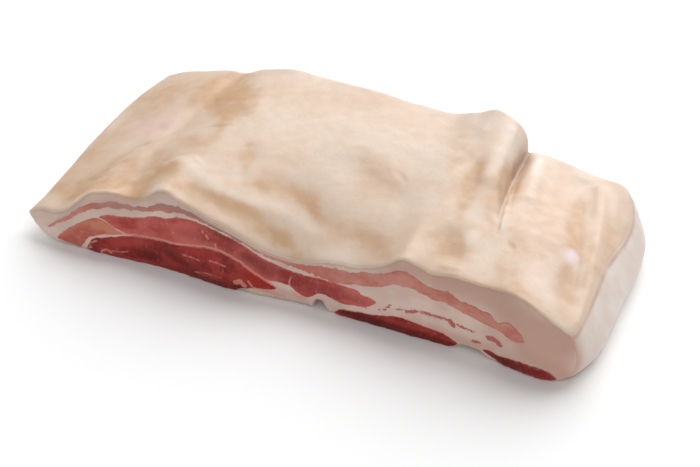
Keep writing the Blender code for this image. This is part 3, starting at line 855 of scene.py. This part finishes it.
def make_slab(cad_box):
    us = crowded(SLAB_COLUMNS, COLUMN_CROWDS)
    vs = crowded(SLAB_ROWS, ROW_CROWDS)
    ws = crowded(SLAB_LEVELS, LEVEL_CROWDS)
    box = unit_box(us, vs, ws, UNDER_STEP)
    u, v, w = box[0].T
    x, y, z, below = slab_point(u, v, w)
    on_cut = (v == 0) | (v == 1)
    wander = waves(x, y, x * 0 + WANDER_PLANE, WANDER)
    about_x, about_y = x + wander, y - wander
    end_corner = np.exp(-((np.maximum(y - END_CORNER[0], 0) / END_CORNER[1]) ** 2))
    attributes = {
        "depth": below,
        # Stains with painted shade on the slopes and in the valleys.
        "tan_and_shade": strokes(TAN_AND_SHADE, about_x, about_y),
        # Painted shade in the creases.
        "crease_shade": strokes(CREASE_SHADE, x, y),
        "blush": strokes(BLUSH, about_x, about_y),
        # Paler skin and painted light on the ridges.
        "pale": strokes(PALE_AND_LIT, about_x, about_y),
        "lilac": strokes(LILAC, x, y),
        "wet": strokes(WET, x, y),
        # Warmer fat with painted shade on the near cut, and on the near corner of the right end.
        "warm": strokes(WARM_AND_SHADE, about_x, z) * on_cut + end_corner * (u == 1),
        "red": strokes(RED, about_x, z) * on_cut,
        "fleck": np.where(on_cut, beyond(FLECKS, x, z, v), NO_MARK),
        "cut": np.where(on_cut, 1.0, end_corner * (u == 1)),
        # Painted shade in the crack under the rind of the right end.
        "crack": (u == 1) * np.exp(-(((below - END_CRACK_DEPTH) / END_CRACK_WIDTH) ** 2)),
    }
    slab = make_piece("pork_fat_and_rind", box, (x, y, z), attributes, fat_and_rind(), cad_box)
    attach(slab, "root")
    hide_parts("fat_and_rind")


def make_lean(node, layer, material, cad_box):
    start, end = layer["top"][0][0], layer["top"][-1][0]
    tallest = max(high - low for (_, high), (_, low) in zip(layer["top"], layer["bottom"]))
    columns = int((end - start) / LEAN_STEP)
    levels = max(LEAN_LEVELS_LEAST, int(tallest * LEAN_HEIGHT / LEAN_LEVEL_STEP))
    rows = np.array(LEAN_ROWS)
    box = unit_box(np.linspace(0, 1, columns + 1), rows, np.linspace(0, 1, levels + 1))
    u, v, w = box[0].T
    x, y, z, edge = lean_point(layer, u, v, w)
    near = np.clip(1 - 2 * v, 0, 1)
    attributes = {
        "edge": edge,
        "bright": strokes(LEAN_BRIGHT, x, z) * near,
        # Darker muscle and painted shade.
        "dark": strokes(LEAN_DARK_AND_SHADE, x, z) * near,
        "seam": beyond(SEAMS, x, z, v),
    }
    piece = make_piece("pork_" + node, box, (x, y, z), attributes, material, cad_box)
    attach(piece, "root")
    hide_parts(node)


# ---- Materials ----


def colour(red, green, blue):
    """A linear colour from 0..255 screen values, by the sRGB curve."""
    screen = np.array([red, green, blue]) / 255
    linear = np.where(screen <= 0.04045, screen / 12.92, ((screen + 0.055) / 1.055) ** 2.4)
    return (*linear.tolist(), 1.0)


def tint(name):
    return colour(*TINTS[name])


def add(tree, kind, inputs=None, **settings):
    """A shader node with its settings, each input a value or another node's output."""
    node = tree.nodes.new("ShaderNode" + kind)
    for name, value in settings.items():
        setattr(node, name, value)
    set_inputs(tree, node, inputs or {})
    return node


def set_inputs(tree, node, inputs):
    """Sets each input to a value, or links it to another node's output."""
    for name, value in inputs.items():
        if isinstance(value, bpy.types.NodeSocket):
            tree.links.new(value, node.inputs[name])
        else:
            node.inputs[name].default_value = value


def attribute(tree, name):
    return add(tree, "Attribute", attribute_name=name).outputs["Fac"]


def maths(tree, operation, a, b=0.0, c=0.0):
    return add(tree, "Math", {0: a, 1: b, 2: c}, operation=operation).outputs[0]


def patches(tree, size, detail=2.0, stretch=(1, 1, 1), shift=0.0):
    """Smooth noise from 0 to 1 with patches of about size mm, longer along a stretched axis."""
    coordinates = add(tree, "TexCoord").outputs["Object"]
    scale = [1 / (size * MM * much) for much in stretch]
    placed = add(tree, "Mapping", {"Vector": coordinates, "Scale": scale, "Location": (shift,) * 3})
    settings = {"Vector": placed.outputs[0], "Scale": 1.0, "Detail": detail}
    return add(tree, "TexNoise", settings).outputs["Fac"]


def ramp(tree, value, low, high, start=0.0, end=1.0):
    """value taken smoothly from start to end as it goes from low to high."""
    names = {"Value": value, "From Min": low, "From Max": high, "To Min": start, "To Max": end}
    return add(tree, "MapRange", names, interpolation_type="SMOOTHSTEP").outputs["Result"]


def blotches(tree, name, most=None):
    """A row of BLOTCHES as a value. If most is given, it takes the place of the row's last number."""
    size, detail, stretch, shift, low, high, start, end = BLOTCHES[name]
    value = patches(tree, size, detail, stretch, shift)
    return ramp(tree, value, low, high, start, end if most is None else most)


def mixed(tree, share, a, b):
    """Colour a where share is 0 and colour b where it is 1."""
    inputs = dict(zip(MIX_SOCKETS, (share, a, b)))
    return add(tree, "Mix", inputs, data_type="RGBA").outputs[MIX_RESULT]


def painted(tree, under, name, over):
    """Colour under, with colour over on it where the attribute called name is strong."""
    return mixed(tree, ramp(tree, attribute(tree, name), 0, 1, 0, PAINT[name]), under, over)


def inside(tree, name, rag, edge, most=1.0):
    """From 0 outside the marks of an attribute of distances to most inside, over a ragged edge."""
    return ramp(tree, maths(tree, "ADD", attribute(tree, name), rag), *edge, 0, most)


def shader_of(name):
    material = bpy.data.materials.new(name)
    material.use_nodes = True
    return material, material.node_tree, material.node_tree.nodes["Principled BSDF"]


def fat_and_rind():
    """Waxy cream skin over pale fat: the attribute depth, in mm under the skin, parts the two."""
    material, tree, shader = shader_of("fat_and_rind")
    on_knife = attribute(tree, "cut")
    depth = maths(tree, "ADD", attribute(tree, "depth"), blotches(tree, "skin edge"))
    cut = ramp(tree, depth, *SKIN_DEPTH)
    rind = ramp(tree, depth, *RIND_DEPTH, 0, RIND_SHARE)
    fat = mixed(tree, rind, fat_colour(tree, on_knife), tint("rind"))

    pores = maths(tree, "MULTIPLY_ADD", patches(tree, *PORES), PORE_SHARE, -PORE_SHARE / 2)
    pores = maths(tree, "ADD", pores, patches(tree, *PITS))
    drag = maths(tree, "MULTIPLY", patches(tree, *DRAG), ramp(tree, on_knife, 0, 1, END_DRAG, 1))
    relief = add(tree, "Mix", {"Factor": cut, "A": pores, "B": drag}).outputs["Result"]
    wet = ramp(tree, attribute(tree, "wet"), 0, 1, 0, WET_SHINE)
    set_inputs(tree, shader, {
        "Base Color": mixed(tree, cut, skin_colour(tree), fat),
        "Normal": add(tree, "Bump", {"Height": relief, **FAT_BUMP}).outputs["Normal"],
        "Roughness": maths(tree, "ADD", blotches(tree, "skin gloss"), wet),
        **FAT_SURFACE,
    })
    return material


def skin_colour(tree):
    """Cream skin: paler, with painted light, on the ridges; yellowish-brown stains with painted shade in the
    valleys; painted shade, brown, in the creases.
    """
    skin = mixed(tree, blotches(tree, "skin tone"), tint("cream"), tint("warm cream"))
    skin = mixed(tree, blotches(tree, "haze"), skin, tint("haze"))
    skin = painted(tree, skin, "blush", tint("blush"))
    # Paler skin and painted light on the ridges and the lobe.
    skin = painted(tree, skin, "pale", tint("pale"))
    # Yellowish-brown stains with painted shade on the slopes and in the valleys.
    stain_and_shade = maths(tree, "MULTIPLY", attribute(tree, "tan_and_shade"), blotches(tree, "tan_and_shade"))
    skin = mixed(tree, ramp(tree, stain_and_shade, 0, STAIN_AND_SHADE_FULL), skin, tint("tan_and_shade"))
    skin = mixed(tree, attribute(tree, "lilac"), skin, tint("lilac"))
    # Painted shade, brown, in the creases.
    skin = mixed(tree, attribute(tree, "crease_shade"), skin, tint("crease_shade"))
    return mixed(tree, blotches(tree, "speckle"), skin, tint("speckle"))


def fat_colour(tree, on_knife):
    """Pale fat: pinker, streaked and flecked on the long cuts, warmer with painted shade in places, and
    plain on the ends but for painted shade in the crack under the rind.
    """
    fat = mixed(tree, blotches(tree, "fat tone"), tint("fat"), tint("pink fat"))
    fat = mixed(tree, blotches(tree, "fat streak"), fat, tint("fat streak"))
    # Warmer fat with painted shade.
    fat = painted(tree, fat, "warm", tint("warm"))
    fat = mixed(tree, blotches(tree, "fat spot"), fat, tint("fat spot"))
    fat = painted(tree, fat, "red", tint("red"))
    fleck = inside(tree, "fleck", blotches(tree, "fleck edge"), FLECK_EDGE)
    fat = mixed(tree, fleck, fat, tint("fleck"))
    end = mixed(tree, blotches(tree, "end tone"), tint("end fat"), tint("dull end fat"))
    fat = mixed(tree, on_knife, end, fat)
    # Painted shade in the crack under the rind.
    crack = maths(tree, "MULTIPLY", attribute(tree, "crack"), blotches(tree, "crack"))
    return mixed(tree, crack, fat, tint("crack"))


def lean_meat(name, deep, bright, dark, marbling, fibre, border):
    """Wet muscle with upright fibres, fine marbling, pink seams and a pale border."""
    material, tree, shader = shader_of(name)
    fibres = patches(tree, *FIBRES)
    meat = mixed(tree, blotches(tree, "meat tone"), colour(*deep), colour(*bright))
    meat = mixed(tree, blotches(tree, "meat light"), meat, colour(*bright))
    meat = painted(tree, meat, "bright", tint("bright"))
    # Darker muscle and painted shade along the lower edge and under the lump.
    meat = painted(tree, meat, "dark", colour(*dark))
    meat = mixed(tree, ramp(tree, fibres, *FIBRE_RANGE, 0, fibre), meat, tint("fibre"))
    meat = mixed(tree, blotches(tree, "marbling", marbling), meat, tint("marbling"))
    rag = blotches(tree, "seam edge")
    seam = inside(tree, "seam", rag, SEAM_EDGE, SEAM_SHARE)
    pale = maths(tree, "MAXIMUM", seam, inside(tree, "edge", rag, BORDER_EDGE, border))
    set_inputs(tree, shader, {
        "Base Color": mixed(tree, pale, meat, tint("seam")),
        "Normal": add(tree, "Bump", {"Height": fibres, **MEAT_BUMP}).outputs["Normal"],
        "Roughness": blotches(tree, "meat gloss"),
        **MEAT_SURFACE,
    })
    return material


# ---- Floor, lights and camera ----


def make_floor():
    bpy.ops.mesh.primitive_plane_add(size=FLOOR_SIZE)
    floor = bpy.context.object
    floor.name = "floor"
    material, tree, shader = shader_of("floor")
    set_inputs(tree, shader, FLOOR_SURFACE)
    floor.data.materials.append(material)


def make_lights():
    world = bpy.data.worlds.new("studio")
    world.use_nodes = True
    background = world.node_tree.nodes["Background"]
    background.inputs["Color"].default_value = (1, 1, 1, 1)
    background.inputs["Strength"].default_value = WORLD_LIGHT
    bpy.context.scene.world = world
    for name, (where, width, strength) in SUNS.items():
        light = bpy.data.lights.new(name, "SUN")
        light.energy = strength
        light.angle = math.radians(width)
        sun = bpy.data.objects.new(name, light)
        sun.location = where
        sun.rotation_euler = (-Vector(where)).to_track_quat("-Z", "Y").to_euler()
        bpy.context.scene.collection.objects.link(sun)


def make_camera():
    azimuth, elevation = math.radians(AZIMUTH), math.radians(ELEVATION)
    back = Vector((math.sin(azimuth) * math.cos(elevation),
                   -math.cos(azimuth) * math.cos(elevation), math.sin(elevation)))
    camera = bpy.data.objects.new("camera", bpy.data.cameras.new("camera"))
    camera.data.lens = LENS
    camera.data.sensor_width = SENSOR
    camera.location = Vector((*AIM, 0)) + DISTANCE * back
    camera.rotation_euler = (-back).to_track_quat("-Z", "Y").to_euler()
    bpy.context.scene.collection.objects.link(camera)
    bpy.context.scene.camera = camera


def main():
    for thing in list(bpy.data.objects):
        bpy.data.objects.remove(thing)
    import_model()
    cad_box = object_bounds()
    bpy.context.scene.view_settings.view_transform = "Standard"
    make_camera()
    make_lights()
    make_floor()
    make_slab(cad_box)
    meats = {name: lean_meat(name, *look) for name, look in MEATS.items()}
    for node, layer in LAYERS.items():
        make_lean(node, layer, meats.get(node, meats[layer["slot"]]), cad_box)


main()
